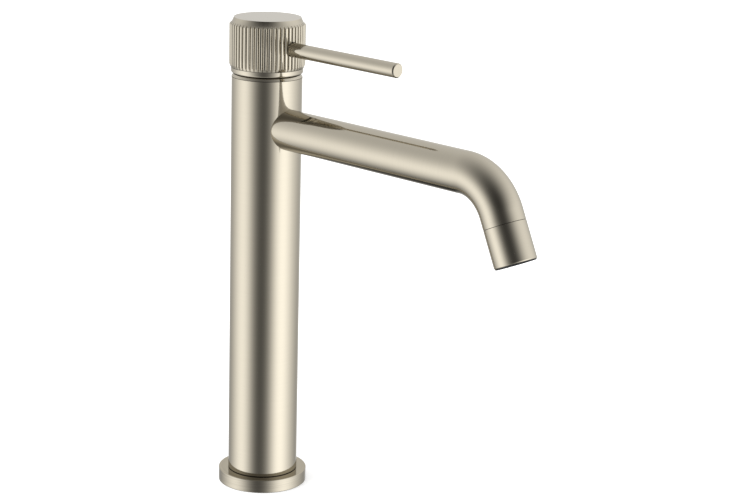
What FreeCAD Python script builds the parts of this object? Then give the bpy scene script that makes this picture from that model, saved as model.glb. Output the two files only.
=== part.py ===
import FreeCAD, Part
import math
import os

from FreeCAD import Placement, Rotation, Vector

# Tall basin mixer with one lever: a round column on a flange, a closed tubular spout that
# turns down at its end, and a fluted knob with a pin lever that lifts and swivels.
# Millimetres and degrees. The origin is the centre of the foot's underside, +Z is up,
# and the spout and the lever point along +X.

# Column: one drawn tube. Its outside is the size that the turned pieces follow. The pieces
# that stand against a tube's end leave a narrow shadow gap round the joint.
column_radius = 21.0
column_wall = 3.0
column_length = 243.7
joint_break = 0.12
shadow_gap = 0.25
shadow_gap_depth = 0.5

# Foot: a loose flange on the deck, held down by the adapter that screws into the column.
flange_overhang = 5.8
flange_thickness = 8.1
flange_edge = 0.5
gasket_margin = 2.8
gasket_width = 3.5
gasket_thickness = 2.0
foot_gap = 0.4
adapter_thread_length = 12.0
shank_step = 0.6
shank_lift = 0.5
shank_wall = 1.9
stud_thread_radius = 2.5
stud_edge = 1.9
stud_web = 2.0

# Spout: one tube, coped to the column, bent down in a single bend.
spout_radius = 12.05
spout_wall = 1.5
spout_drop = 29.2
spout_straight_end = 161.4
spout_bend_radius = 30.1
spout_bend_angle = 65.3
spout_tail = 6.5
spout_joint_gap = 0.1

# Nipple that carries the spout in the valve body's side pocket, with its seal.
nipple_step = 1.65
nipple_bore = 6.2
nipple_collar_start = 2.0
nipple_collar_length = 5.0
nipple_end_gap = 0.2
nipple_seal_height = 1.7
nipple_seal_width = 1.7
nipple_seal_inset = 1.05

# Aerator sleeve: screws into the spout's mouth and holds the insert.
sleeve_length = 21.8
sleeve_spigot_length = 6.0
sleeve_spigot_wall = 1.85
sleeve_lip = 1.35
sleeve_edge = 0.33
sleeve_edge_length = 0.65
sleeve_step = 8.0
washer_thickness = 1.4
washer_width = 1.8
insert_head_height = 0.5
insert_head_inset = 0.55
insert_face_recess = 1.2
insert_wall = 1.5
insert_face = 1.6
screen_thickness = 0.8
cell_rings = 2
cell_pitch = 3.3
cell_across_flats = 2.8

# Cover ring: closes the column's top, with a bevelled rim and a conical guard in the knob.
cover_height = 1.8
cover_bevel = 1.0
cover_spigot_length = 1.5
cover_spigot_wall = 1.5
guard_step = 2.44
guard_wall = 1.2
guard_opening_radius = 12.4

# Knob: a plain lip, a fluted grip and a flat top with a conical edge.
knob_gap = 0.6
knob_height = 32.8
lip_overhang = 0.4
lip_height = 3.2
lip_rounding = 1.0
knob_cavity_gap = 0.8
grip_overhang = 1.5
flute_foot_step = 0.2
flute_foot_height = 2.1
flute_head_height = 1.4
knob_cone_height = 2.6
knob_cone_foot_inset = 1.5
knob_top_inset = 2.65
flute_count = 54
flute_width = 1.35
flute_root_width = 0.5
flute_depth = 1.1
cavity_headroom = 1.8
boss_radius = 7.5
boss_drop = 2.0

# Lever: a plain rod, screwed into the knob in front of the grub screw.
lever_radius = 4.25
lever_reach = 108.2
lever_rise = 16.25
lever_sink = 5.0
lever_chamfer = 0.65
screw_radius = 3.0
screw_gap = 1.0
grub_length = 6.3
grub_socket_depth = 2.5
grub_socket_across_flats = 3.0

# Cartridge: ceramic discs under a stem that tilts on a pin in a rotating guide.
pivot_depth = 13.0
tilt_limit = 20.0
cartridge_radius = 12.4
housing_wall = 1.0
housing_bearing_width = 1.9
housing_neck_length = 3.5
housing_neck_wall = 0.9
cartridge_base_thickness = 3.8
cartridge_base_flange = 2.0
fixed_disc_thickness = 2.6
moving_disc_thickness = 2.4
moving_disc_radius = 8.8
mixing_cavity_radius = 4.6
mixing_cavity_depth = 1.2
outlet_port_radius = 2.2
inlet_port_radius = 1.4
inlet_pitch_radius = 6.6
inlet_angle = 53.0
inlet_spread = 28.0
seal_width = 1.1
seal_thickness = 1.2
peg_radius = 1.25
peg_length = 2.0
peg_pitch_radius = 9.0
peg_angle = 145.0
driver_radius = 8.6
driver_plate_thickness = 2.2
driver_web = 1.35
driver_boss_length = 9.0
driver_boss_width = 8.0
driver_boss_rise = 1.5
driver_peg_radius = 0.9
driver_peg_length = 1.0
driver_peg_offset = 7.0
stem_square = 6.4
stem_above_lever = 6.5
stem_foot_drop = 3.2
stem_neck_radius = 1.5
ball_drop = 6.5
ball_radius = 2.2
pin_radius = 1.5
pin_end_inset = 0.7
nut_thread_width = 1.5
nut_thread_length = 6.0
nut_head_gap = 1.04
nut_head_height = 3.0

# Valve body: the brass insert in the column's head, with the water ways.
body_base = 16.0
hose_thread_radius = 4.5
hose_thread_length = 8.0
hose_port_set_back = 2.8
channel_radius = 2.4
channel_drop = 3.8
side_web = 1.1

# Clearances.
push_fit = 0.1
running_fit = 0.07
film_gap = 0.05
loose_gap = 0.2
seat_gap = 0.3

# Heights of the main seats, from the deck up.
column_bottom = flange_thickness
column_top = column_bottom + column_length
cover_top = column_top + cover_height
knob_bottom = cover_top + knob_gap
knob_top = knob_bottom + knob_height
lever_height = knob_bottom + lever_rise
pivot_height = knob_bottom - pivot_depth
spout_height = column_top - spout_drop
body_top = column_top - cover_spigot_length - seat_gap
ball_height = pivot_height - ball_drop

# The cartridge's stack, from the stem's ball down to the floor of its pocket.
moving_disc_top = ball_height - ball_radius - seat_gap - driver_web
moving_disc_bottom = moving_disc_top - moving_disc_thickness
fixed_disc_top = moving_disc_bottom - film_gap
fixed_disc_bottom = fixed_disc_top - fixed_disc_thickness
pocket_floor = fixed_disc_bottom - cartridge_base_thickness
driver_plate_top = moving_disc_top + driver_plate_thickness
driver_top = ball_height + driver_boss_rise
guide_bottom = driver_plate_top + loose_gap
housing_bottom = pocket_floor + cartridge_base_flange
housing_shoulder = body_top - nut_thread_length
housing_top = housing_shoulder + housing_neck_length
body_bottom = pocket_floor - body_base

# The conical guard at 45 degrees, and the knob's hollow that swings over it.
rim_radius = column_radius - cover_bevel
guard_foot_radius = rim_radius - guard_step
guard_top = cover_top + guard_foot_radius - guard_opening_radius
guard_reach = math.hypot(guard_opening_radius, guard_top - pivot_height)
cavity_top = pivot_height + guard_reach + cavity_headroom

# Radii that follow from the column and the cartridge.
column_bore = column_radius - column_wall
insert_radius = column_bore - push_fit
flange_radius = column_radius + flange_overhang
shank_radius = column_bore - shank_step
lip_radius = column_radius + lip_overhang
grip_radius = column_radius + grip_overhang
cavity_radius = column_radius - knob_cavity_gap
housing_bore = cartridge_radius - housing_wall
housing_neck_radius = cartridge_radius - housing_bearing_width
housing_neck_bore = housing_neck_radius - housing_neck_wall
pocket_radius = cartridge_radius + loose_gap
nut_thread_radius = cartridge_radius + nut_thread_width
cover_spigot_bore = insert_radius - cover_spigot_wall
nut_head_radius = cover_spigot_bore - nut_head_gap
spout_bore = spout_radius - spout_wall
nipple_radius = spout_bore - nipple_step
side_pocket_start = pocket_radius + side_web
stem_half = stem_square / 2

ORIGIN = Vector(0, 0, 0)
UP = Vector(0, 0, 1)
FORWARD = Vector(1, 0, 0)
SIDEWAYS = Vector(0, 1, 0)


def rod(radius, start, end):
    """Round bar between two points."""
    return Part.makeCylinder(radius, (end - start).Length, start, end - start)


def upright(radius, bottom, top, x=0.0, y=0.0):
    """Round bar along Z."""
    return rod(radius, Vector(x, y, bottom), Vector(x, y, top))


def block(x_range, y_range, z_range):
    """Square block between three pairs of limits."""
    low = Vector(x_range[0], y_range[0], z_range[0])
    size = [high - start for start, high in (x_range, y_range, z_range)]
    return Part.makeBox(*size, low)


def hexagon(across_flats, bottom, top, x=0.0, y=0.0):
    """Six-sided bar along Z."""
    corner_radius = across_flats / math.sqrt(3)
    corners = []
    for index in range(7):
        angle = math.radians(60 * index)
        step = Vector(math.cos(angle), math.sin(angle), 0) * corner_radius
        corners.append(Vector(x, y, bottom) + step)
    return Part.Face(Part.makePolygon(corners)).extrude(UP * (top - bottom))


def section_point(radius, height):
    """Point of a half section in the XZ plane."""
    return Vector(radius, 0, height)


def turned(*outline, sweep=360):
    """Turned piece about Z. The outline goes round the half section, as (radius, height)
    corners. A corner given as (radius, height, middle) is reached by an arc through middle."""
    edges = []
    start = section_point(*outline[-1][:2])
    for corner in outline:
        end = section_point(*corner[:2])
        if len(corner) == 3:
            edges.append(Part.Arc(start, section_point(*corner[2]), end).toShape())
        else:
            edges.append(Part.makeLine(start, end))
        start = end
    return Part.Face(Part.Wire(edges)).revolve(ORIGIN, UP, sweep)


def polar(radius, degrees):
    """x and y of a point round the Z axis."""
    angle = math.radians(degrees)
    return radius * math.cos(angle), radius * math.sin(angle)


# Foot ------------------------------------------------------------------------------------

gasket_outer_radius = flange_radius - gasket_margin
gasket_inner_radius = gasket_outer_radius - gasket_width
stud_offset = shank_radius - stud_edge - stud_thread_radius
hose_opening_back = shank_radius - shank_wall
hose_opening_front = stud_offset - stud_thread_radius - stud_web
hose_opening_radius = (hose_opening_back + hose_opening_front) / 2
hose_opening_x = (hose_opening_front - hose_opening_back) / 2


def base_flange():
    bore = shank_radius + push_fit
    flange = turned(
        (bore, 0),
        (flange_radius - flange_edge, 0),
        (flange_radius, flange_edge),
        (flange_radius, flange_thickness - flange_edge),
        (flange_radius - flange_edge, flange_thickness),
        (bore, flange_thickness),
    )
    outer = gasket_outer_radius + push_fit
    inner = gasket_inner_radius - push_fit
    groove = upright(outer, 0, gasket_thickness).cut(upright(inner, 0, gasket_thickness))
    return flange.cut(groove)


def foot_gasket():
    ring = upright(gasket_outer_radius, 0, gasket_thickness)
    return ring.cut(upright(gasket_inner_radius, 0, gasket_thickness))


def base_adapter():
    thread_top = column_bottom + adapter_thread_length
    adapter = turned(
        (0, shank_lift),
        (shank_radius, shank_lift),
        (shank_radius, column_bottom),
        (insert_radius, column_bottom),
        (insert_radius, thread_top - joint_break),
        (insert_radius - joint_break, thread_top),
        (0, thread_top),
    )
    hoses = upright(hose_opening_radius, shank_lift, thread_top, hose_opening_x)
    stud = upright(stud_thread_radius, shank_lift, thread_top, stud_offset)
    return adapter.cut([hoses, stud])


# Column and what stands in its head -------------------------------------------------------


def column_tube():
    tube = turned(
        (column_bore, column_bottom),
        (column_radius - shadow_gap_depth, column_bottom),
        (column_radius - shadow_gap_depth, column_bottom + foot_gap),
        (column_radius, column_bottom + foot_gap),
        (column_radius, column_top - joint_break),
        (column_radius - joint_break, column_top),
        (column_bore, column_top),
    )
    hole_end = Vector(column_radius + spout_wall, 0, spout_height)
    return tube.cut(rod(nipple_radius + loose_gap, Vector(0, 0, spout_height), hole_end))


def inlet_place(side):
    """Place of the hot (+1) or the cold (-1) inlet, round the cartridge's axis."""
    return polar(inlet_pitch_radius, side * inlet_angle)


def hose_place(side):
    """Place of a hose thread, set back so that its hose runs straight down through the foot."""
    x, y = inlet_place(side)
    return x - hose_port_set_back, y


def valve_body():
    body = turned(
        (0, body_bottom),
        (insert_radius, body_bottom),
        (insert_radius, body_top),
        (nut_thread_radius + push_fit, body_top),
        (nut_thread_radius + push_fit, housing_shoulder - seat_gap),
        (pocket_radius, housing_shoulder - seat_gap),
        (pocket_radius, pocket_floor),
        (0, pocket_floor),
    )
    channel_height = pocket_floor - channel_drop
    channel_end = Vector(side_pocket_start, 0, channel_height)
    ways = [
        rod(channel_radius, Vector(-outlet_port_radius, 0, channel_height), channel_end),
        upright(outlet_port_radius, channel_height, pocket_floor),
    ]
    side_start = Vector(side_pocket_start, 0, spout_height)
    side_end = Vector(column_radius, 0, spout_height)
    ways.append(rod(nipple_radius + push_fit, side_start, side_end))
    for side in (1, -1):
        x, y = inlet_place(side)
        ways.append(upright(inlet_port_radius, body_bottom, pocket_floor, x, y))
        x, y = hose_place(side)
        thread_top = body_bottom + hose_thread_length
        ways.append(upright(hose_thread_radius, body_bottom, thread_top, x, y))
        x, y = polar(peg_pitch_radius, side * peg_angle)
        peg_hole_bottom = pocket_floor - peg_length - seat_gap
        ways.append(upright(peg_radius + push_fit, peg_hole_bottom, pocket_floor, x, y))
    return body.cut(ways)


def cover_ring():
    guard_ceiling = guard_top - guard_wall * math.sqrt(2)
    guard_inner_foot = guard_ceiling + guard_opening_radius - cover_spigot_bore
    return turned(
        (cover_spigot_bore, column_top - cover_spigot_length),
        (insert_radius, column_top - cover_spigot_length),
        (insert_radius, column_top),
        (column_radius - shadow_gap_depth, column_top),
        (column_radius - shadow_gap_depth, column_top + shadow_gap),
        (column_radius, column_top + shadow_gap),
        (rim_radius, cover_top),
        (guard_foot_radius, cover_top),
        (guard_opening_radius, guard_top),
        (guard_opening_radius, guard_ceiling),
        (cover_spigot_bore, guard_inner_foot),
    )


# Spout ------------------------------------------------------------------------------------


def outlet_line(distance):
    """Point on the outlet's axis at a distance past the bend, and the direction there."""
    lean = math.radians(spout_bend_angle)
    outwards = Vector(math.cos(lean), 0, -math.sin(lean))
    bend_end = Vector(
        spout_straight_end + spout_bend_radius * math.sin(lean),
        0,
        spout_height - spout_bend_radius * (1 - math.cos(lean)),
    )
    return bend_end + outwards * distance, outwards


def pipe(radius):
    """Solid bar along the spout's line: straight, one bend down, and the straight tail."""
    start = Vector(0, 0, spout_height)
    bend_start = Vector(spout_straight_end, 0, spout_height)
    bend_centre = bend_start - UP * spout_bend_radius
    disc = Part.Face(Part.Wire(Part.makeCircle(radius, bend_start, FORWARD)))
    bend = disc.revolve(bend_centre, SIDEWAYS, spout_bend_angle)
    joint, outwards = outlet_line(0)
    pieces = [bend, rod(radius, joint, joint + outwards * spout_tail)]
    return rod(radius, start, bend_start).multiFuse(pieces).removeSplitter()


def spout_tube():
    tube = pipe(spout_radius).cut(pipe(spout_bore))
    column = upright(column_radius + spout_joint_gap, column_bottom, column_top)
    return tube.cut(column)


def nipple_ring(outer_radius, clearance):
    """Square-section ring round the nipple's stub: the seal, or with a clearance its groove."""
    seal_start = side_pocket_start + nipple_end_gap + nipple_seal_inset
    start = Vector(seal_start - clearance, 0, spout_height)
    end = Vector(seal_start + nipple_seal_width + clearance, 0, spout_height)
    core_radius = nipple_radius - nipple_seal_height - clearance
    return rod(outer_radius, start, end).cut(rod(core_radius, start, end))


def spout_nipple():
    stub_start = Vector(side_pocket_start + nipple_end_gap, 0, spout_height)
    collar_start = Vector(column_radius + nipple_collar_start, 0, spout_height)
    collar_end = collar_start + FORWARD * nipple_collar_length
    stub = rod(nipple_radius, stub_start, collar_start)
    collar = rod(spout_bore - film_gap, collar_start, collar_end)
    nipple = stub.fuse(collar).cut(rod(nipple_bore, stub_start, collar_end))
    return nipple.cut(nipple_ring(nipple_radius, film_gap))


def nipple_seal():
    return nipple_ring(nipple_radius, 0)


# Aerator. Its pieces are turned about Z with the spout's mouth at 0 and the outlet above,
# and then turned over onto the outlet's line.

sleeve_bore = spout_radius - sleeve_lip
washer_bottom = sleeve_step
insert_bottom = washer_bottom + washer_thickness
insert_top = sleeve_length + insert_head_height
insert_head_radius = spout_radius - insert_head_inset
insert_outer_radius = sleeve_bore - push_fit
insert_bore = insert_outer_radius - insert_wall


def on_outlet(shape):
    mouth, outwards = outlet_line(spout_tail)
    shape.Placement = Placement(mouth, Rotation(UP, outwards))
    return shape


def aerator_sleeve():
    spigot_radius = spout_bore - push_fit
    spigot_bore = spigot_radius - sleeve_spigot_wall
    return on_outlet(
        turned(
            (spigot_bore, -sleeve_spigot_length),
            (spigot_radius, -sleeve_spigot_length),
            (spigot_radius, 0),
            (spout_radius - shadow_gap_depth, 0),
            (spout_radius - shadow_gap_depth, shadow_gap),
            (spout_radius, shadow_gap),
            (spout_radius, sleeve_length - sleeve_edge_length),
            (spout_radius - sleeve_edge, sleeve_length),
            (sleeve_bore + joint_break, sleeve_length),
            (sleeve_bore, sleeve_length - joint_break),
            (sleeve_bore, sleeve_step),
            (spigot_bore, sleeve_step),
        )
    )


def aerator_washer():
    outer = sleeve_bore - push_fit
    ring = upright(outer, washer_bottom, insert_bottom)
    return on_outlet(ring.cut(upright(outer - washer_width, washer_bottom, insert_bottom)))


def aerator_screen():
    """Woven sieve, as a flat disc on the ledge inside the insert's rim."""
    screen_top = insert_bottom + screen_thickness
    return on_outlet(upright(insert_bore - push_fit, insert_bottom, screen_top))


def honeycomb_places():
    """Centres of a hexagonal grid of cells round the outlet's axis."""
    places = []
    for row in range(-cell_rings, cell_rings + 1):
        for column in range(-cell_rings, cell_rings + 1):
            if abs(row + column) > cell_rings:
                continue
            x = cell_pitch * math.sqrt(3) / 2 * row
            y = cell_pitch * (column + row / 2)
            places.append((x, y))
    return places


def aerator_insert():
    """Cage with a honeycomb outlet face. Its head covers the sleeve's end."""
    face_top = insert_top - insert_face_recess
    face_bottom = face_top - insert_face
    ledge = insert_bottom + screen_thickness
    cage = turned(
        (insert_bore, insert_bottom),
        (insert_outer_radius, insert_bottom),
        (insert_outer_radius, sleeve_length),
        (insert_head_radius, sleeve_length),
        (insert_head_radius, insert_top),
        (insert_bore, insert_top),
        (insert_bore, face_top),
        (0, face_top),
        (0, face_bottom),
        (insert_bore - insert_wall / 2, face_bottom),
        (insert_bore - insert_wall / 2, ledge),
        (insert_bore, ledge),
    )
    cells = [
        hexagon(cell_across_flats, face_bottom, face_top, x, y) for x, y in honeycomb_places()
    ]
    return on_outlet(cage.cut(cells))


# Cartridge ----------------------------------------------------------------------------------


def port_places():
    """The outlet port in the middle and the two inlet ports, as (radius, x, y)."""
    ports = [(outlet_port_radius, 0.0, 0.0)]
    for side in (1, -1):
        ports.append((inlet_port_radius, *inlet_place(side)))
    return ports


def port_seals():
    """Three rubber rings between the cartridge's base and the floor of its pocket."""
    rings = []
    for port_radius, x, y in port_places():
        top = pocket_floor + seal_thickness
        ring = upright(port_radius + seal_width - film_gap, pocket_floor, top, x, y)
        rings.append(ring.cut(upright(port_radius, pocket_floor, top, x, y)))
    return Part.makeCompound(rings)


def cartridge_base():
    base = turned(
        (0, pocket_floor),
        (cartridge_radius, pocket_floor),
        (cartridge_radius, housing_bottom),
        (housing_bore - push_fit, housing_bottom),
        (housing_bore - push_fit, fixed_disc_bottom),
        (0, fixed_disc_bottom),
    )
    cuts = []
    for port_radius, x, y in port_places():
        seal_top = pocket_floor + seal_thickness
        cuts.append(upright(port_radius, pocket_floor, fixed_disc_bottom, x, y))
        cuts.append(upright(port_radius + seal_width, pocket_floor, seal_top, x, y))
    base = base.cut(cuts)
    for side in (1, -1):
        x, y = polar(peg_pitch_radius, side * peg_angle)
        base = base.fuse(upright(peg_radius, pocket_floor - peg_length, pocket_floor, x, y))
    return base.removeSplitter()


def fixed_disc():
    disc = upright(housing_bore - push_fit, fixed_disc_bottom, fixed_disc_top)
    cuts = [upright(outlet_port_radius, fixed_disc_bottom, fixed_disc_top)]
    kidney_inner = inlet_pitch_radius - inlet_port_radius
    kidney_outer = inlet_pitch_radius + inlet_port_radius
    for side in (1, -1):
        slot = turned(
            (kidney_inner, fixed_disc_bottom),
            (kidney_outer, fixed_disc_bottom),
            (kidney_outer, fixed_disc_top),
            (kidney_inner, fixed_disc_top),
            sweep=inlet_spread,
        )
        slot.rotate(ORIGIN, UP, side * inlet_angle - inlet_spread / 2)
        cuts.append(slot)
    return disc.cut(cuts)


def moving_disc():
    disc = upright(moving_disc_radius, moving_disc_bottom, moving_disc_top)
    cavity_top = moving_disc_bottom + mixing_cavity_depth
    cuts = [upright(mixing_cavity_radius, moving_disc_bottom, cavity_top)]
    for side in (1, -1):
        hole_bottom = moving_disc_top - driver_peg_length - film_gap
        hole_radius = driver_peg_radius + film_gap
        cuts.append(upright(hole_radius, hole_bottom, moving_disc_top, 0, side * driver_peg_offset))
    return disc.cut(cuts)


def disc_driver():
    plate = upright(driver_radius, moving_disc_top, driver_plate_top)
    half_length = driver_boss_length / 2
    half_width = driver_boss_width / 2
    boss = block(
        (-half_length, half_length), (-half_width, half_width), (moving_disc_top, driver_top)
    )
    pegs = []
    for side in (1, -1):
        y = side * driver_peg_offset
        bottom = moving_disc_top - driver_peg_length
        pegs.append(upright(driver_peg_radius, bottom, moving_disc_top, 0, y))
    driver = plate.multiFuse([boss] + pegs).removeSplitter()
    socket_bottom = ball_height - ball_radius - seat_gap
    return driver.cut(upright(ball_radius + loose_gap, socket_bottom, driver_top))


def cartridge_housing():
    return turned(
        (housing_bore, housing_bottom),
        (cartridge_radius, housing_bottom),
        (cartridge_radius, housing_shoulder),
        (housing_neck_radius, housing_shoulder),
        (housing_neck_radius, housing_top),
        (housing_neck_bore, housing_top),
        (housing_neck_bore, housing_shoulder - housing_neck_wall),
        (housing_bore, housing_shoulder - housing_neck_wall),
    )


def retaining_nut():
    head_bottom = body_top + seat_gap
    head_top = head_bottom + nut_head_height
    thread = upright(nut_thread_radius, housing_shoulder, head_bottom)
    head = hexagon(nut_head_radius * math.sqrt(3), head_bottom, head_top)
    bore = upright(housing_neck_radius + loose_gap, housing_shoulder, head_top)
    return thread.fuse(head).cut(bore)


def rotating_guide():
    """Turns in the housing, carries the pin, and keeps the driver square to the stem."""
    neck_bottom = housing_shoulder - housing_neck_wall - push_fit
    guide = turned(
        (0, guide_bottom),
        (housing_bore - running_fit, guide_bottom),
        (housing_bore - running_fit, neck_bottom),
        (housing_neck_bore - running_fit, neck_bottom),
        (housing_neck_bore - running_fit, housing_top),
        (0, housing_top),
    )
    tilt = math.radians(tilt_limit)
    top_lean = (housing_top - pivot_height) * math.tan(tilt)
    slot_back = stem_half / math.cos(tilt) + top_lean + seat_gap
    slot_front = stem_half * math.cos(tilt) + stem_foot_drop * math.sin(tilt) + seat_gap
    slot_half = stem_half + loose_gap
    stem_slot = block(
        (-slot_back, slot_front), (-slot_half, slot_half), (guide_bottom, housing_top)
    )
    travel = ball_drop * tilt
    boss_half = driver_boss_length / 2
    side_half = driver_boss_width / 2 + running_fit
    driver_slot = block(
        (-boss_half - seat_gap, boss_half + travel + seat_gap),
        (-side_half, side_half),
        (guide_bottom, driver_top + loose_gap),
    )
    pin_end = SIDEWAYS * housing_bore
    centre = section_point(0, pivot_height)
    pin_hole = rod(pin_radius + film_gap, centre - pin_end, centre + pin_end)
    return guide.cut([stem_slot, driver_slot, pin_hole])


def pivot_pin():
    half = SIDEWAYS * (housing_bore - pin_end_inset)
    centre = section_point(0, pivot_height)
    return rod(pin_radius, centre - half, centre + half)


# Handle -------------------------------------------------------------------------------------


def stem():
    shank = block(
        (-stem_half, stem_half),
        (-stem_half, stem_half),
        (pivot_height - stem_foot_drop, lever_height + stem_above_lever),
    )
    neck = upright(stem_neck_radius, ball_height, pivot_height - stem_foot_drop)
    ball = Part.makeSphere(ball_radius, section_point(0, ball_height))
    centre = section_point(0, pivot_height)
    hole_end = SIDEWAYS * stem_square
    pin_hole = rod(pin_radius + running_fit, centre - hole_end, centre + hole_end)
    return shank.multiFuse([neck, ball]).removeSplitter().cut(pin_hole)


def knob_blank():
    """Turned outside of the knob, with the hollow that rides over the cover's guard."""
    flute_foot = knob_bottom + lip_height
    grip_bottom = flute_foot + flute_foot_height
    cone_bottom = knob_top - knob_cone_height
    grip_top = cone_bottom - flute_head_height
    cone_radius = grip_radius - knob_cone_foot_inset
    round_centre = lip_radius - lip_rounding
    round_middle = lip_rounding * math.sqrt(0.5)
    middle = (round_centre + round_middle, knob_bottom + lip_rounding - round_middle)
    return turned(
        (cavity_radius, knob_bottom),
        (round_centre, knob_bottom),
        (lip_radius, knob_bottom + lip_rounding, middle),
        (lip_radius, flute_foot),
        (lip_radius + flute_foot_step, flute_foot),
        (grip_radius, grip_bottom),
        (grip_radius, grip_top),
        (cone_radius, cone_bottom),
        (grip_radius - knob_top_inset, knob_top),
        (0, knob_top),
        (0, cavity_top - boss_drop),
        (boss_radius, cavity_top - boss_drop),
        (boss_radius, cavity_top),
        (cavity_radius, cavity_top),
    )


def flutes():
    """Tapered grooves that run out through the bevels at both ends of the grip."""
    bottom = knob_bottom + lip_height
    length = knob_top - knob_cone_height / 2 - bottom
    root = grip_radius - flute_depth
    mouth = grip_radius + flute_depth
    taper = (flute_width - flute_root_width) / 2
    corners = [
        Vector(root, -flute_root_width / 2, bottom),
        Vector(mouth, -flute_width / 2 - taper, bottom),
        Vector(mouth, flute_width / 2 + taper, bottom),
        Vector(root, flute_root_width / 2, bottom),
    ]
    groove = Part.Face(Part.makePolygon(corners + corners[:1])).extrude(UP * length)
    grooves = []
    for index in range(flute_count):
        turned_groove = groove.copy()
        turned_groove.rotate(ORIGIN, UP, index * 360 / flute_count)
        grooves.append(turned_groove)
    return grooves


def knob():
    body = knob_blank().cut(flutes())
    socket_half = stem_half + film_gap
    socket = block(
        (-socket_half, socket_half),
        (-socket_half, socket_half),
        (pivot_height, lever_height + stem_above_lever + seat_gap),
    )
    axis_start = section_point(0, lever_height)
    screw_hole = rod(screw_radius + film_gap, axis_start, axis_start + FORWARD * grip_radius)
    seat = section_point(grip_radius - lever_sink, lever_height)
    lever_hole = rod(lever_radius + push_fit, seat, seat + FORWARD * (2 * lever_sink))
    return body.cut([socket, screw_hole, lever_hole])


def lever_rod():
    seat = grip_radius - lever_sink
    tip = section_point(lever_reach, lever_height)
    shaft_end = tip - FORWARD * lever_chamfer
    shaft = rod(lever_radius, section_point(seat, lever_height), shaft_end)
    end = Part.makeCone(lever_radius, lever_radius - lever_chamfer, lever_chamfer, shaft_end, FORWARD)
    stub_start = section_point(stem_half + grub_length + screw_gap, lever_height)
    stub = rod(screw_radius, stub_start, section_point(seat, lever_height))
    return shaft.multiFuse([end, stub]).removeSplitter()


def grub_screw():
    tip = section_point(stem_half, lever_height)
    screw = rod(screw_radius, tip, tip + FORWARD * grub_length)
    socket = hexagon(grub_socket_across_flats, grub_length - grub_socket_depth, grub_length)
    socket.Placement = Placement(tip, Rotation(UP, FORWARD))
    return screw.cut(socket)


sub_parts = [
    base_flange,
    foot_gasket,
    base_adapter,
    column_tube,
    valve_body,
    cover_ring,
    spout_tube,
    spout_nipple,
    nipple_seal,
    aerator_sleeve,
    aerator_washer,
    aerator_screen,
    aerator_insert,
    port_seals,
    cartridge_base,
    fixed_disc,
    cartridge_housing,
    retaining_nut,
    rotating_guide,
    pivot_pin,
    disc_driver,
    moving_disc,
    stem,
    knob,
    lever_rod,
    grub_screw,
]

os.makedirs("parts", exist_ok=True)
for sub_part in sub_parts:
    shape = sub_part()
    shape.exportStep(os.path.join("parts", sub_part.__name__ + ".step"))
    print(sub_part.__name__, len(shape.Solids), "solids,", round(shape.Volume), "mm3")
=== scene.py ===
import math

import bpy
from mathutils import Matrix, Vector


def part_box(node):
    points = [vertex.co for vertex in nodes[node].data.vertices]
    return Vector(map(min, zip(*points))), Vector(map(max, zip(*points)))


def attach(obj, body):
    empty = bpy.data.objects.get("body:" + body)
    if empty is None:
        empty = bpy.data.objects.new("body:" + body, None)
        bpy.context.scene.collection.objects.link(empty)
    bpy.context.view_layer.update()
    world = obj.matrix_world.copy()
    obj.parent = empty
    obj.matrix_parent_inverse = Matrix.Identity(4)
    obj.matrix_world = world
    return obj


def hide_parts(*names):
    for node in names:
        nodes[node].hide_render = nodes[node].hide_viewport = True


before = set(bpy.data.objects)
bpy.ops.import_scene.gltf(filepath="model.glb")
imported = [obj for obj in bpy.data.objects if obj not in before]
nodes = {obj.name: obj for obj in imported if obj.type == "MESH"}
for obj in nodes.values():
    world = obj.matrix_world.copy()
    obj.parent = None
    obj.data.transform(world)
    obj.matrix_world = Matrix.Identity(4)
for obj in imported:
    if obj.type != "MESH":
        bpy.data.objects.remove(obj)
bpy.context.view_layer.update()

# Foot flange: a loose turned ring of nickel-plated brass that stands on the deck, with a groove
# for a gasket in its underside. Its side and its top carry the fine rings that the brush leaves
# on a turning piece, and its edges are eased.
MM = 0.001
ROUND_STEPS = 180
MERGE_DISTANCE = 0.001 * MM
NICKEL_COLOUR = (0.741, 0.68, 0.556, 1)
NICKEL_EDGE_TINT = (0.87, 0.87, 0.87, 1)
NICKEL_ROUGHNESS = 0.06
NICKEL_MARK_DEPTH = 0.004 * MM


def begin():
    """Leaves nothing selected, so that the next operator acts on its own piece alone."""
    if bpy.context.object and bpy.context.object.mode != "OBJECT":
        bpy.ops.object.mode_set(mode="OBJECT")
    bpy.ops.object.select_all(action="DESELECT")


def name_piece(name):
    """The object just added gets its name and is returned."""
    piece = bpy.context.object
    piece.name = name
    piece.data.name = name
    return piece


def turn(name, outline, steps=ROUND_STEPS):
    """Turns a piece about Z: a ring is drawn out from corner to corner of its half section,
    and back to the first corner."""
    begin()
    radius, height = outline[0]
    bpy.ops.mesh.primitive_circle_add(vertices=steps, radius=radius)
    piece = name_piece(name)
    bpy.ops.object.mode_set(mode="EDIT")
    bpy.ops.mesh.select_all(action="SELECT")
    bpy.ops.transform.translate(value=(0, 0, height))
    for next_radius, next_height in outline[1:] + outline[:1]:
        rise = (0, 0, next_height - height)
        bpy.ops.mesh.extrude_edges_move(TRANSFORM_OT_translate={"value": rise})
        share = next_radius / radius
        bpy.ops.transform.resize(value=(share, share, 1), center_override=(0, 0, next_height))
        radius, height = next_radius, next_height
    bpy.ops.mesh.select_all(action="SELECT")
    bpy.ops.mesh.remove_doubles(threshold=MERGE_DISTANCE)
    bpy.ops.mesh.normals_make_consistent(inside=False)
    bpy.ops.object.mode_set(mode="OBJECT")
    return piece


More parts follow.
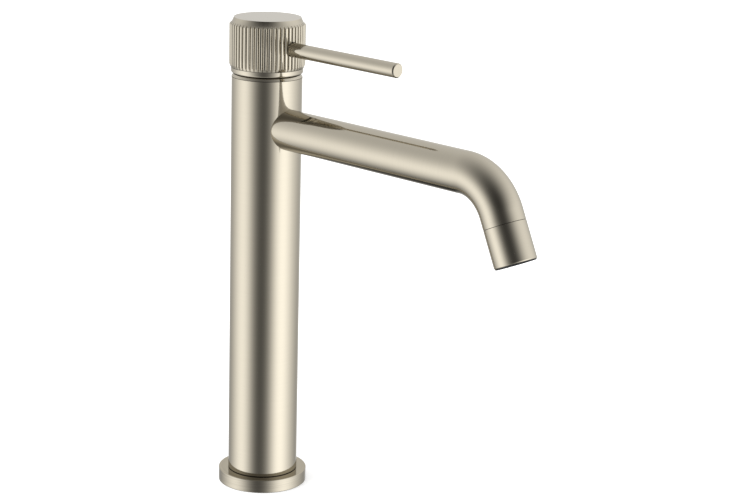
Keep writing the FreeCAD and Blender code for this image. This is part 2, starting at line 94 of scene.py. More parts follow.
def apply_modifier(piece, kind, **settings):
    """Adds a modifier to the piece and applies it."""
    begin()
    bpy.context.view_layer.objects.active = piece
    piece.select_set(True)
    bpy.ops.object.modifier_add(type=kind)
    modifier = piece.modifiers[-1]
    for key, value in settings.items():
        setattr(modifier, key, value)
    bpy.ops.object.modifier_apply(modifier=modifier.name)


def finish_surface(piece, sharp=40):
    """Shades the piece smoothly, apart from the edges that are sharper than the angle."""
    begin()
    bpy.context.view_layer.objects.active = piece
    piece.select_set(True)
    bpy.ops.object.shade_smooth_by_angle(angle=math.radians(sharp))
    apply_modifier(piece, "WEIGHTED_NORMAL", keep_sharp=True, weight=50)


def ease_edges(piece, width, segments=2, sharp=30):
    """Rounds the sharp edges and shades the piece as turned metal."""
    apply_modifier(
        piece, "BEVEL", width=width, segments=segments, limit_method="ANGLE",
        angle_limit=math.radians(sharp), use_clamp_overlap=True,
    )
    finish_surface(piece)


class Finish:
    """A material under construction: its node tree, and the shader that it ends in."""

    def __init__(self, name, colour, metallic, roughness):
        self.material = bpy.data.materials.new(name)
        self.material.use_nodes = True
        self.tree = self.material.node_tree
        self.shader = self.tree.nodes["Principled BSDF"]
        self.shader.inputs["Base Color"].default_value = colour
        self.shader.inputs["Metallic"].default_value = metallic
        self.shader.inputs["Roughness"].default_value = roughness

    def add(self, kind, inputs=None, **settings):
        """Adds a node. An input given as a socket is linked, and as a value is set."""
        made = self.tree.nodes.new("ShaderNode" + kind)
        for key, value in settings.items():
            setattr(made, key, value)
        for key, value in (inputs or {}).items():
            if isinstance(value, bpy.types.NodeSocket):
                self.tree.links.new(value, made.inputs[key])
            else:
                made.inputs[key].default_value = value
        return made

    def feed(self, output, target):
        """Links an output to one of the shader's inputs."""
        self.tree.links.new(output, self.shader.inputs[target])

    def coat_piece(self, *pieces):
        """Gives the pieces this material alone."""
        for piece in pieces:
            piece.data.materials.clear()
            piece.data.materials.append(self.material)


def nickel_finish(name, tilt=(0, 0, 0), way=None, streak=1.0, marks_per_metre=2200):
    """Brushed nickel with fine rings round the piece's own axis. The tilt brings that axis
    onto Z. A bent piece names the attribute that holds the way along it. The streak deepens
    the rings."""
    rings_on_flats = 0.7
    marks_across = 30
    smoothest, roughest = 0.8, 1.25
    cloud_scale, cloud_depth = 45.0, 0.03
    lighter_by, darker_by = 1.02, 0.04
    bump_strength = 0.35
    finish = Finish(name, NICKEL_COLOUR, 1.0, NICKEL_ROUGHNESS)
    finish.shader.inputs["Specular Tint"].default_value = NICKEL_EDGE_TINT
    place = finish.add("TexCoord")
    local = finish.add("Mapping", {"Vector": place.outputs["Object"], "Rotation": tilt})
    parts = finish.add("SeparateXYZ", {"Vector": local.outputs[0]})
    flat = finish.add("CombineXYZ", {"X": parts.outputs["X"], "Y": parts.outputs["Y"]})
    radius = finish.add("VectorMath", {0: flat.outputs[0]}, operation="LENGTH")
    level = finish.add(
        "Math", {0: radius.outputs["Value"], 1: rings_on_flats, 2: parts.outputs["Z"]},
        operation="MULTIPLY_ADD",
    )
    height = level.outputs[0]
    if way:
        height = finish.add("Attribute", attribute_name=way).outputs["Fac"]
    marks_place = finish.add(
        "CombineXYZ", {"X": parts.outputs["X"], "Y": parts.outputs["Y"], "Z": height}
    )
    stretched = finish.add(
        "VectorMath",
        {0: marks_place.outputs[0], 1: (marks_across, marks_across, marks_per_metre)},
        operation="MULTIPLY",
    )
    marks = finish.add(
        "TexNoise",
        {"Vector": stretched.outputs[0], "Scale": 1.0, "Detail": 3.0, "Roughness": 0.65},
    )
    cloud = finish.add(
        "TexNoise", {"Vector": local.outputs[0], "Scale": cloud_scale, "Detail": 2.0}
    )
    roughness = finish.add(
        "MapRange",
        {"Value": marks.outputs["Fac"], "From Min": 0.3, "From Max": 0.7,
         "To Min": NICKEL_ROUGHNESS * smoothest, "To Max": NICKEL_ROUGHNESS * roughest},
    )
    uneven = finish.add(
        "Math", {0: cloud.outputs["Fac"], 1: cloud_depth, 2: roughness.outputs[0]},
        operation="MULTIPLY_ADD",
    )
    finish.feed(uneven.outputs[0], "Roughness")
    light = tuple(min(1, c * lighter_by) for c in NICKEL_COLOUR[:3]) + (1,)
    dark = tuple(c * (1 - darker_by * streak) for c in NICKEL_COLOUR[:3]) + (1,)
    tone = finish.add("Mix", {0: marks.outputs["Fac"], 6: dark, 7: light}, data_type="RGBA")
    finish.level = parts.outputs["Z"]
    finish.tone = tone.outputs[2]
    finish.feed(finish.tone, "Base Color")
    bump = finish.add(
        "Bump",
        {"Height": marks.outputs["Fac"], "Strength": bump_strength,
         "Distance": NICKEL_MARK_DEPTH * streak},
    )
    finish.feed(bump.outputs[0], "Normal")
    return finish


def paint_shade(finish, within, share):
    """Paints shade on nickel: its tone is darkened to a share, or a share for each colour, as far
    as it is within.
    """
    shares = share if isinstance(share, tuple) else (share, share, share)
    shaded_tone = finish.add(
        "Mix", {0: within.outputs[0], 6: finish.tone, 7: shares + (1,)},
        data_type="RGBA", blend_type="MULTIPLY",
    )
    finish.tone = shaded_tone.outputs[2]
    finish.feed(finish.tone, "Base Color")


def shade(finish, full, none, share):
    """Paints shade on nickel, fully at one level and not at all at another."""
    within = finish.add(
        "MapRange", {"Value": finish.level, "From Min": full, "From Max": none,
                     "To Min": 1.0, "To Max": 0.0},
    )
    paint_shade(finish, within, share)


flange_edge = 0.45 * MM
flange_top_painted_shade = (0.985, 0.963, 0.906)
shank_bore = 17.5 * MM
groove_play = 0.1 * MM
groove_depth_inwards = 3.6 * MM
foot_nickel = nickel_finish("foot_nickel", streak=7.0, marks_per_metre=1200)
flange_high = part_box("base_flange")[1]
flange_radius = flange_high.x
flange_top = flange_high.z
gasket_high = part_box("foot_gasket")[1]
groove_outer = gasket_high.x + groove_play
groove_inner = gasket_high.x - groove_depth_inwards
groove_top = gasket_high.z
flange = turn("foot_flange", [
    (shank_bore, 0),
    (groove_inner, 0),
    (groove_inner, groove_top),
    (groove_outer, groove_top),
    (groove_outer, 0),
    (flange_radius, 0),
    (flange_radius, flange_top),
    (shank_bore, flange_top),
])
ease_edges(flange, width=flange_edge, segments=3)
# Painted shade: the flange's top face is painted a little darker and warmer than its side.
shade(foot_nickel, flange_top - 0.1 * MM, flange_top - 0.3 * MM, flange_top_painted_shade)
foot_nickel.coat_piece(flange)
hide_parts("base_flange")
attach(flange, "root")


# Foot gasket: a flat ring cut from black rubber. It lies in the flange's groove and seals the
# foot against the deck.
def plain_finish(name, colour, metallic=0.0, roughness=0.5, grain=800, depth=0.01 * MM):
    """A plain material with a fine even grain, for the pieces inside."""
    smoothest, roughest = 0.8, 1.2
    bump_strength = 0.3
    finish = Finish(name, colour, metallic, roughness)
    place = finish.add("TexCoord")
    speck = finish.add(
        "TexNoise", {"Vector": place.outputs["Object"], "Scale": grain, "Detail": 4.0}
    )
    spread = finish.add(
        "MapRange",
        {"Value": speck.outputs["Fac"],
         "To Min": roughness * smoothest, "To Max": roughness * roughest},
    )
    finish.feed(spread.outputs[0], "Roughness")
    bump = finish.add(
        "Bump", {"Height": speck.outputs["Fac"], "Strength": bump_strength, "Distance": depth}
    )
    finish.feed(bump.outputs[0], "Normal")
    return finish


rubber = plain_finish("black_rubber", (0.025, 0.025, 0.027, 1), roughness=0.6)
rubber.coat_piece(nodes["foot_gasket"])

# Base adapter: turned brass, thinly plated. It goes up through the flange and screws into the
# column's foot, so that the column clamps the flange. All of it is inside.
inner_nickel = plain_finish("inner_nickel", (0.42, 0.38, 0.28, 1), metallic=1.0, roughness=0.3)
inner_nickel.coat_piece(nodes["base_adapter"])

# Column: one drawn brass tube, nickel plated and ring brushed. It stands on the flange with a
# narrow shadow gap round its foot, and has a side hole for the spout's nipple.
column_wall = 3.0 * MM
column_edge = 0.08 * MM
foot_gap = 0.4 * MM
nipple_hole_inset = 2.95 * MM
SHADOW_GAP_DEPTH = 0.5 * MM
GAP_SHARE = 0.1
GAP_FADE = 0.01 * MM
column_low, column_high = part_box("column_tube")
column_radius = column_high.x
column_bottom = column_low.z
column_top = column_high.z
column_bore = column_radius - column_wall
gap_radius = column_radius - SHADOW_GAP_DEPTH
foot_gap_top = column_bottom + foot_gap
column = turn("column", [
    (column_bore, column_bottom),
    (gap_radius, column_bottom),
    (gap_radius, foot_gap_top),
    (column_radius, foot_gap_top),
    (column_radius, column_top),
    (column_bore, column_top),
])
spout_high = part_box("spout_tube")[1]
spout_radius = spout_high.y
spout_height = spout_high.z - spout_radius
nipple_hole_radius = spout_radius - nipple_hole_inset


def bar(radius, start, end, steps=96):
    """A round bar between two points, used as a piece's start or as a cutter."""
    begin()
    way = Vector(end) - Vector(start)
    bpy.ops.mesh.primitive_cylinder_add(
        vertices=steps, radius=radius, depth=way.length,
        location=(Vector(start) + Vector(end)) / 2,
        rotation=way.to_track_quat("Z", "Y").to_euler(),
    )
    bpy.ops.object.transform_apply(location=True, rotation=True, scale=True)
    return bpy.context.object


def cut(piece, cutter):
    """Cuts the cutter's shape out of the piece, and removes the cutter."""
    apply_modifier(piece, "BOOLEAN", operation="DIFFERENCE", solver="EXACT", object=cutter)
    bpy.data.objects.remove(cutter)


def shade_gap(finish, gap_top):
    """Darkens a shadow gap up to its top level, because the room's light hardly reaches it."""
    shade(finish, gap_top - GAP_FADE, gap_top + GAP_FADE, GAP_SHARE)


nipple_hole = bar(
    nipple_hole_radius, (0, 0, spout_height), (2 * column_radius, 0, spout_height)
)
cut(column, nipple_hole)
ease_edges(column, width=column_edge)
column_nickel = nickel_finish("column_nickel")
shade_gap(column_nickel, foot_gap_top)
column_nickel.coat_piece(column)
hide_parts("column_tube")
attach(column, "root")

# Valve body: a brass insert in the column's head that holds the cartridge under its nut. The
# spout's nipple sits in its side with a rubber seal. All of it is inside.
raw_brass = plain_finish("raw_brass", (0.78, 0.57, 0.28, 1), metallic=1.0, roughness=0.28)
raw_brass.coat_piece(nodes["valve_body"], nodes["spout_nipple"], nodes["retaining_nut"])
rubber.coat_piece(nodes["nipple_seal"])

# Cover ring: a turned and plated ring that closes the column's head below the knob. Its bevel
# shows over a narrow shadow gap, and its conical guard stands up inside the knob.
SHADOW_GAP = 0.25 * MM
cover_bevel = 1.0 * MM
cover_height = 1.8 * MM
cover_edge = 0.05 * MM
cover_top_painted_shade = 0.45
guard_opening = 12.4 * MM
guard_wall = 1.2 * MM
insert_play = 0.1 * MM
insert_wall = 1.5 * MM
cover_low, cover_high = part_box("cover_ring")
cover_rim = column_radius - cover_bevel
cover_top = column_top + cover_height
cover_gap_top = column_top + SHADOW_GAP
guard_foot = guard_opening + cover_high.z - cover_top
guard_ceiling = cover_high.z - guard_wall * math.sqrt(2)
insert_radius = column_bore - insert_play
insert_bore = insert_radius - insert_wall
cover = turn("cover_ring_turned", [
    (insert_bore, cover_low.z),
    (insert_radius, cover_low.z),
    (insert_radius, column_top),
    (gap_radius, column_top),
    (gap_radius, cover_gap_top),
    (column_radius, cover_gap_top),
    (cover_rim, cover_top),
    (guard_foot, cover_top),
    (guard_opening, cover_high.z),
    (guard_opening, guard_ceiling),
    (insert_bore, guard_ceiling + guard_opening - insert_bore),
])
ease_edges(cover, width=cover_edge)
cover_nickel = nickel_finish("cover_nickel")
shade_gap(cover_nickel, cover_gap_top)
# Painted shade: the cover's top face and its guard under the knob are darkened to 0.45 of their
# tone.
shade(cover_nickel, cover_top - 0.02 * MM, cover_top - 0.1 * MM, cover_top_painted_shade)
cover_nickel.coat_piece(cover)
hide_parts("cover_ring")
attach(cover, "root")

# Spout: one round brass tube, coped to the column, bent down once and cut square. It starts
# inside the column, until the cope cuts it back. The brush leaves rings across its length, so
# the way along the tube is kept for its marks.
spout_sides = 192
spout_wall = 1.5 * MM
spout_edge = 0.1 * MM
spout_straight_end = 161.4 * MM
spout_bend_radius = 30.1 * MM
spout_bend_angle = math.radians(65.3)
spout_bend_steps = 36
spout_tail = 6.5 * MM
spout_joint_gap = 0.1 * MM
cope_sides = 256
spout_start = column_radius * 0.4
bend_centre = Vector((spout_straight_end, 0, spout_height - spout_bend_radius))
outwards = Vector((math.cos(spout_bend_angle), 0, -math.sin(spout_bend_angle)))
bend_end = bend_centre + spout_bend_radius * Vector((-outwards.z, 0, outwards.x))
mouth = bend_end + outwards * spout_tail
begin()
bpy.ops.mesh.primitive_cylinder_add(
    vertices=spout_sides, radius=spout_radius, depth=spout_straight_end - spout_start,
    end_fill_type="NOTHING", rotation=(0, math.radians(90), 0),
    location=((spout_straight_end + spout_start) / 2, 0, spout_height),
)
spout = name_piece("spout")
bpy.ops.object.transform_apply(location=True, rotation=True, scale=True)
bpy.ops.object.mode_set(mode="EDIT")
bpy.ops.mesh.select_all(action="DESELECT")
bpy.ops.object.mode_set(mode="OBJECT")
for vertex in spout.data.vertices:
    vertex.select = vertex.co.x > spout_straight_end - 0.01 * MM
bpy.ops.object.mode_set(mode="EDIT")
bpy.ops.mesh.spin(
    steps=spout_bend_steps, angle=-spout_bend_angle, center=bend_centre, axis=(0, 1, 0)
)
bpy.ops.mesh.extrude_edges_move(TRANSFORM_OT_translate={"value": outwards * spout_tail})
bpy.ops.mesh.select_all(action="SELECT")
bpy.ops.mesh.remove_doubles(threshold=MERGE_DISTANCE)
bpy.ops.mesh.normals_make_consistent(inside=False)
bpy.ops.object.mode_set(mode="OBJECT")
apply_modifier(spout, "SOLIDIFY", thickness=spout_wall, offset=-1)
cope = bar(
    column_radius + spout_joint_gap, (0, 0, column_bottom), (0, 0, column_top), cope_sides
)
cut(spout, cope)
ease_edges(spout, width=spout_edge, sharp=50)
way_along = spout.data.attributes.new("way_along", "FLOAT", "POINT")
for index, vertex in enumerate(spout.data.vertices):
    from_centre = vertex.co - bend_centre
    turned = math.atan2(from_centre.x, from_centre.z)
    if vertex.co.x <= spout_straight_end and turned <= 0:
        way = vertex.co.x
    elif turned < spout_bend_angle:
        way = spout_straight_end + spout_bend_radius * turned
    else:
        way = spout_straight_end + spout_bend_radius * spout_bend_angle
        way += (vertex.co - bend_end).dot(outwards)
    way_along.data[index].value = way
spout_nickel = nickel_finish("spout_nickel", way="way_along")
spout_nickel.coat_piece(spout)
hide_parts("spout_tube")
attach(spout, "root")

# Aerator: a plated sleeve that screws into the spout's mouth and holds the plastic insert, its
# sieve and its washer. The sleeve is turned upright and then put on the outlet's line.
sleeve_length = 21.8 * MM
sleeve_chamfer = 0.33 * MM
sleeve_chamfer_length = 0.68 * MM
sleeve_edge = 0.06 * MM
sleeve_end_painted_shade = 0.08
sleeve_bore = spout_radius - 1.35 * MM
insert_seat = 8.0 * MM
spigot_length = 6.0 * MM
spigot_radius = spout_radius - spout_wall - 0.1 * MM
spigot_bore = spigot_radius - 1.85 * MM
sleeve = turn("aerator_sleeve_turned", [
    (spigot_bore, -spigot_length),
    (spigot_radius, -spigot_length),
    (spigot_radius, 0),
    (spout_radius - SHADOW_GAP_DEPTH, 0),
    (spout_radius - SHADOW_GAP_DEPTH, SHADOW_GAP),
    (spout_radius, SHADOW_GAP),
    (spout_radius, sleeve_length - sleeve_chamfer_length),
    (spout_radius - sleeve_chamfer, sleeve_length),
    (sleeve_bore, sleeve_length),
    (sleeve_bore, insert_seat),
    (spigot_bore, insert_seat),
])
ease_edges(sleeve, width=sleeve_edge)
outlet_turn = outwards.to_track_quat("Z", "Y")
sleeve.matrix_world = Matrix.Translation(mouth) @ outlet_turn.to_matrix().to_4x4()
begin()
bpy.context.view_layer.objects.active = sleeve
sleeve.select_set(True)
bpy.ops.object.transform_apply(location=True, rotation=True, scale=True)
sleeve_nickel = nickel_finish("sleeve_nickel", tilt=outlet_turn.inverted().to_euler())
seam_level = (outlet_turn.inverted() @ mouth).z + SHADOW_GAP
shade_gap(sleeve_nickel, seam_level)
outlet_level = seam_level - SHADOW_GAP + sleeve_length
# Painted shade: the sleeve's flat end round the outlet is painted nearly black.
shade(sleeve_nickel, outlet_level - 0.01 * MM, outlet_level - 0.03 * MM, sleeve_end_painted_shade)
sleeve_nickel.coat_piece(sleeve)
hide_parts("aerator_sleeve")
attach(sleeve, "root")
aerator_plastic = plain_finish("aerator_plastic", (0.03, 0.03, 0.03, 1), roughness=0.45)
aerator_plastic.coat_piece(nodes["aerator_insert"])
steel = plain_finish("steel", (0.56, 0.56, 0.55, 1), metallic=1.0, roughness=0.3)
steel.coat_piece(nodes["aerator_screen"])
rubber.coat_piece(nodes["aerator_washer"])

# Cartridge: ceramic discs in a white and grey plastic housing, on three rubber port seals. A
# steel stem on a steel pin works the discs. All of it is inside the column's head.
white_plastic = plain_finish("white_plastic", (0.78, 0.78, 0.75, 1), roughness=0.4)
white_plastic.coat_piece(nodes["cartridge_base"], nodes["cartridge_housing"])
grey_plastic = plain_finish("grey_plastic", (0.23, 0.24, 0.26, 1), roughness=0.45)
grey_plastic.coat_piece(nodes["rotating_guide"], nodes["disc_driver"])
ceramic = plain_finish("ceramic", (0.82, 0.80, 0.74, 1), roughness=0.12, depth=0.002 * MM)
ceramic.coat_piece(nodes["fixed_disc"], nodes["moving_disc"])
rubber.coat_piece(nodes["port_seals"])
steel.coat_piece(nodes["stem"], nodes["pivot_pin"])

# Knob: turned from nickel-plated brass, with a plain lip, a reeded grip and a flat top with a
# conical edge. A comb, which is a ring with a slot for each reed, clears the valleys between
# them. A steel grub screw holds the knob on the stem.
grip_radius = column_radius + 1.5 * MM
grip_step = 0.2 * MM
grip_rise = 2.1 * MM
grip_shoulder = 1.4 * MM
lip_radius = column_radius + 0.4 * MM
lip_height = 3.2 * MM
lip_rounding = ((1.0, 0.0), (0.62, 0.076), (0.29, 0.29), (0.076, 0.62), (0.0, 1.0))
cone_height = 2.6 * MM
cone_foot = 1.5 * MM
cone_inset = 2.65 * MM
top_ring = 8.0 * MM
top_centre = 0.02 * MM
knob_steps = 216
knob_cavity = column_radius - 0.8 * MM
pivot_depth = 13.0 * MM
guard_clearance = 1.8 * MM
knob_low, knob_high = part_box("knob")
knob_bottom = knob_low.z
knob_top = knob_high.z
lip_top = knob_bottom + lip_height
cone_bottom = knob_top - cone_height
pivot_height = knob_bottom - pivot_depth
guard_reach = math.hypot(guard_opening, cover_high.z - pivot_height)
knob_ceiling = pivot_height + guard_reach + guard_clearance
# The outline stays a hair off the axis, so the top is closed up to a pinhole of 0.04 mm.
knob = turn("knob_turned", [
    (knob_cavity, knob_bottom),
    *[(lip_radius - inset * MM, knob_bottom + rise * MM) for inset, rise in lip_rounding],
    (lip_radius, lip_top),
    (lip_radius + grip_step, lip_top),
    (grip_radius, lip_top + grip_rise),
    (grip_radius, cone_bottom - grip_shoulder),
    (grip_radius - cone_foot, cone_bottom),
    (grip_radius - cone_inset, knob_top),
    (top_ring, knob_top),
    (top_centre, knob_top),
    (top_centre, knob_ceiling),
    (knob_cavity, knob_ceiling),
], steps=knob_steps)

# The reeds start a little off the lever's side. Each is a bar that reaches past the knob's top.
reed_count = 54
reed_width = 2.2 * MM
reed_shoulder = 0.8 * MM
reed_phase = math.radians(1.2)
reed_depth = 4 * MM
reed_middle = grip_radius - 2.02 * MM
reed_top = knob_top + 2 * MM
valley_radius = grip_radius - 1.4 * MM
comb_margin = 1 * MM
begin()
bpy.ops.mesh.primitive_cube_add(
    size=1, location=(reed_middle, 0, (reed_top + knob_bottom) / 2)
)
reed = bpy.context.object
reed.scale = (reed_depth, reed_width, reed_top - knob_bottom)
bpy.ops.object.transform_apply(location=True, rotation=True, scale=True)
apply_modifier(reed, "BEVEL", width=reed_shoulder, segments=8, limit_method="ANGLE")
reeds = [reed]
for index in range(1, reed_count):
    other = reed.copy()
    other.data = reed.data.copy()
    bpy.context.collection.objects.link(other)
    other.data.transform(Matrix.Rotation(math.tau * index / reed_count, 4, "Z"))
    reeds.append(other)
begin()
for other in reeds:
    other.select_set(True)
bpy.context.view_layer.objects.active = reed
bpy.ops.object.join()
reed.data.transform(Matrix.Rotation(reed_phase, 4, "Z"))
comb = turn("comb", [
    (valley_radius, lip_top),
    (grip_radius + comb_margin, lip_top),
    (grip_radius + comb_margin, knob_top + comb_margin),
    (valley_radius, knob_top + comb_margin),
], steps=knob_steps)
cut(comb, reed)
cut(knob, comb)

lever_low, lever_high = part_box("lever_rod")
lever_radius = lever_high.y
lever_height = (lever_low.z + lever_high.z) / 2
lever_seat = grip_radius - 5.0 * MM
lever_hole_play = 0.25 * MM
hole_margin = 1.3 * lever_radius
# A level cut above and below the lever's hole keeps its corners out of the reeds' shading.
begin()
bpy.context.view_layer.objects.active = knob
knob.select_set(True)
for side in (-1, 1):
    bpy.ops.object.mode_set(mode="EDIT")
    bpy.ops.mesh.select_all(action="SELECT")
    bpy.ops.mesh.bisect(
        plane_co=(0, 0, lever_height + side * hole_margin), plane_no=(0, 0, 1)
    )
    bpy.ops.object.mode_set(mode="OBJECT")
lever_hole = bar(
    lever_radius + lever_hole_play, (lever_seat, 0, lever_height),
    (2 * grip_radius, 0, lever_height),
)
cut(knob, lever_hole)
finish_surface(knob, sharp=32)


def shade_band(finish, level, half_height, share):
    """Paints shade on nickel in a narrow band round one level."""
    within = finish.add(
        "Math", {0: finish.level, 1: level, 2: half_height}, operation="COMPARE"
    )
    paint_shade(finish, within, share)


knob_foot_painted_shade = 0.45
grip_foot_painted_shade = 0.3
knob_nickel = nickel_finish("knob_nickel")
# Painted shade: the knob's flat underside is darkened, and so is a thin band at the grip's foot
# where the reeds' valleys end.
shade(knob_nickel, knob_bottom + 0.04 * MM, knob_bottom + 0.14 * MM, knob_foot_painted_shade)
shade_band(knob_nickel, lip_top + 0.15 * MM, 0.17 * MM, grip_foot_painted_shade)
knob_nickel.coat_piece(knob)
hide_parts("knob")
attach(knob, "handle")
steel.coat_piece(nodes["grub_screw"])

# Lever: a plain rod turned from plated brass, with a chamfered end. A thin screwed stub holds it
# in the side of the knob.
lever_reach = lever_high.x
lever_sides = 192
lever_chamfer = 0.65 * MM
stub_radius = 3.0 * MM
stub_start = 10.5 * MM
stub_overlap = 0.5 * MM
stub_sides = 48
lever = bar(
    lever_radius, (lever_seat, 0, lever_height), (lever_reach, 0, lever_height), lever_sides
)
lever.name = "lever"
stub = bar(
    stub_radius, (stub_start, 0, lever_height),
    (lever_seat + stub_overlap, 0, lever_height), stub_sides,
)
begin()
stub.select_set(True)
lever.select_set(True)
bpy.context.view_layer.objects.active = lever
bpy.ops.object.join()
ease_edges(lever, width=lever_chamfer, segments=1)
lever_nickel = nickel_finish("lever_nickel", tilt=(0, math.radians(-90), 0))
lever_nickel.coat_piece(lever)
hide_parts("lever_rod")
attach(lever, "handle")

# Camera: it stands before the mixer, a little above its middle, and is rolled by a degree and a
# half, as the photograph is.
camera_azimuth = math.radians(45.112)
camera_elevation = math.radians(14.839)
camera_roll = math.radians(1.484)
camera_distance = 1226.46 * MM
camera_target = Vector((88.139, 5.654, 162.968)) * MM
camera_lens = 102.665
camera_sensor = 36
back = Vector((
    math.sin(camera_azimuth) * math.cos(camera_elevation),
    -math.cos(camera_azimuth) * math.cos(camera_elevation),
    math.sin(camera_elevation),
))
level_right = Vector((math.cos(camera_azimuth), math.sin(camera_azimuth), 0))
level_up = back.cross(level_right)
right = math.cos(camera_roll) * level_right + math.sin(camera_roll) * level_up
up = back.cross(right)
camera_data = bpy.data.cameras.new("camera")
camera_data.sensor_width = camera_sensor
camera_data.lens = camera_lens
camera = bpy.data.objects.new("camera", camera_data)
bpy.context.scene.collection.objects.link(camera)
camera.matrix_world = Matrix.Translation(camera_target + back * camera_distance) @ Matrix(
    (right, up, back)
).transposed().to_4x4()
bpy.context.scene.camera = camera
bpy.context.scene.view_settings.view_transform = "Standard"

# Room: a soft studio, whose brightness rises towards the back and has a few broad panels of
# light and of dark. The metal mirrors it, and to the camera it is plain white.
world = bpy.data.worlds.new("studio")
bpy.context.scene.world = world
world.use_nodes = True
world.cycles.sampling_method = "NONE"
tree = world.node_tree
tree.nodes.clear()


def room_node(kind, inputs=None, **settings):
    """Adds a node to the room. An input given as a socket is linked, and as a value is set."""
    made = tree.nodes.new("ShaderNode" + kind)
    for key, value in settings.items():
        setattr(made, key, value)
    for key, value in (inputs or {}).items():
        if isinstance(value, bpy.types.NodeSocket):
            tree.links.new(value, made.inputs[key])
        else:
            made.inputs[key].default_value = value
    return made


def room_direction(azimuth, elevation):
    """A direction in the room. Azimuth 0 is towards the camera, and right of it is positive."""
    turned_by = math.radians(azimuth) + camera_azimuth - math.radians(90)
    rise = math.radians(elevation)
    return (
        math.cos(turned_by) * math.cos(rise),
        math.sin(turned_by) * math.cos(rise),
        math.sin(rise),
    )


looking = room_node("TexCoord").outputs["Generated"]


def panel(azimuth, elevation, tightness):
    """Share of a soft round panel of light that is seen in a direction, 1 at its middle."""
    along = room_node(
        "VectorMath", {0: looking, 1: room_direction(azimuth, elevation)},
        operation="DOT_PRODUCT",
    )
    off = room_node("Math", {0: along.outputs["Value"], 1: -1.0}, operation="ADD")
    fall = room_node("Math", {0: off.outputs[0], 1: tightness}, operation="MULTIPLY")
    return room_node("Math", {0: fall.outputs[0]}, operation="EXPONENT").outputs[0]


room_brightest_way = room_direction(168, 8.5)
room_slope = 1.23
room_level = 1.09
room_darkest = 0.02
# Each panel has its azimuth and elevation in degrees, its tightness and its strength.
light_panels = (
    (-56, -19.5, 2.73, 1.84),
    (52, -21, 3.41, 1.45),
    (180, -13, 17.4, 0.79),
    (172, -50, 1.21, -1.68),
    (177, 43.6, 1.2, -1.0),
)
dark_panels = ((-22.6, 22, 2.65, -0.81), (-10, -23, 6.5, -0.72))
slope = room_node(
    "VectorMath", {0: looking, 1: room_brightest_way}, operation="DOT_PRODUCT"
)
brightness = room_node(
    "Math", {0: slope.outputs["Value"], 1: room_slope, 2: room_level},
    operation="MULTIPLY_ADD",
).outputs[0]
for azimuth, elevation, tightness, strength in light_panels:
    share = panel(azimuth, elevation, tightness)
    brightness = room_node(
        "Math", {0: share, 1: strength, 2: brightness}, operation="MULTIPLY_ADD"
    ).outputs[0]
for azimuth, elevation, tightness, strength in dark_panels:
    dark = room_node(
        "Math", {0: panel(azimuth, elevation, tightness), 1: strength, 2: 1.0},
        operation="MULTIPLY_ADD",
    ).outputs[0]
    brightness = room_node("Math", {0: brightness, 1: dark}, operation="MULTIPLY").outputs[0]
brightness = room_node("Math", {0: brightness, 1: room_darkest}, operation="MAXIMUM").outputs[0]

# Light that the metal has mirrored twice is evened out and dimmed, and other light is plain.
twice_mirrored_depth = 2.5
twice_mirrored_share = 0.45
twice_mirrored_level = 0.09
light_path = room_node("LightPath")
mirrored_again = room_node(
    "Math", {0: light_path.outputs["Ray Depth"], 1: twice_mirrored_depth},
    operation="GREATER_THAN",
)
dimmed = room_node(
    "Math", {0: brightness, 1: twice_mirrored_share, 2: twice_mirrored_level},
    operation="MULTIPLY_ADD",
)
brightness = room_node(
    "Mix", {0: mirrored_again.outputs[0], 2: brightness, 3: dimmed.outputs[0]}
).outputs[0]
daylight_strength = 0.75
room = room_node("Background", {"Color": (1, 1, 1, 1), "Strength": brightness})
plain = room_node("Background", {"Color": (1, 1, 1, 1), "Strength": daylight_strength})
white = room_node("Background", {"Color": (1, 1, 1, 1), "Strength": 1.0})
for_diffuse = room_node(
    "MixShader",
    {0: light_path.outputs["Is Glossy Ray"], 1: plain.outputs[0], 2: room.outputs[0]},
)
for_camera = room_node(
    "MixShader",
    {0: light_path.outputs["Is Camera Ray"], 1: for_diffuse.outputs[0], 2: white.outputs[0]},
)
room_node("OutputWorld", {"Surface": for_camera.outputs[0]})

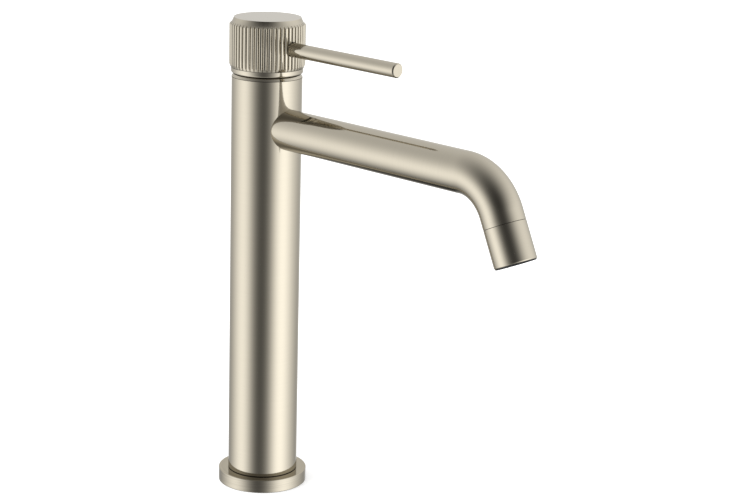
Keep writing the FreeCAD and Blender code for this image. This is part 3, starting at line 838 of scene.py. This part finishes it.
# Floor: a plain white sheet that keeps the object's shadow. A glow that only the camera sees
# lifts it to the room's white away from the foot, and the metal mirrors the room in its place.
floor_size = 12
floor_grey = 0.82
floor_roughness = 0.9
fade_near, fade_far = 0.06, 0.4
glow_near, glow_far = 0.4, 0.8
begin()
bpy.ops.mesh.primitive_plane_add(size=floor_size)
floor = name_piece("floor")
floor_finish = Finish("floor_white", (floor_grey,) * 3 + (1,), 0.0, floor_roughness)
floor_path = floor_finish.add("LightPath")
floor_place = floor_finish.add("TexCoord")
floor_distance = floor_finish.add(
    "VectorMath", {0: floor_place.outputs["Object"]}, operation="LENGTH"
)
floor_fade = floor_finish.add(
    "MapRange",
    {"Value": floor_distance.outputs["Value"], "From Min": fade_near, "From Max": fade_far,
     "To Min": glow_near, "To Max": glow_far},
)
floor_glow = floor_finish.add(
    "Emission", {"Color": (1, 1, 1, 1), "Strength": floor_fade.outputs[0]}
)
floor_white = floor_finish.add(
    "AddShader", {0: floor_finish.shader.outputs[0], 1: floor_glow.outputs[0]}
)
clear = floor_finish.add("BsdfTransparent")
seen = floor_finish.add(
    "MixShader",
    {0: floor_path.outputs["Is Camera Ray"], 1: floor_finish.shader.outputs[0],
     2: floor_white.outputs[0]},
)
mirrored = floor_finish.add(
    "MixShader",
    {0: floor_path.outputs["Is Glossy Ray"], 1: seen.outputs[0], 2: clear.outputs[0]},
)
floor_finish.tree.links.new(
    mirrored.outputs[0], floor_finish.tree.nodes["Material Output"].inputs["Surface"]
)
floor_finish.coat_piece(floor)

# Softbox: one broad lamp overhead that gives the floor its soft shadow. It is hidden from the
# metal's mirror.
softbox_side = 1.2
softbox_energy = 14
softbox_place = (-0.2, -0.4, 1.5)
softbox_aim = Vector((0.05, 0, 0.1))
softbox_data = bpy.data.lights.new("overhead_softbox", "AREA")
softbox_data.shape = "RECTANGLE"
softbox_data.size = softbox_side
softbox_data.size_y = softbox_side
softbox_data.energy = softbox_energy
softbox = bpy.data.objects.new("overhead_softbox", softbox_data)
bpy.context.scene.collection.objects.link(softbox)
softbox.location = softbox_place
softbox.rotation_euler = (softbox_aim - softbox.location).to_track_quat("-Z", "Y").to_euler()
softbox.visible_glossy = False
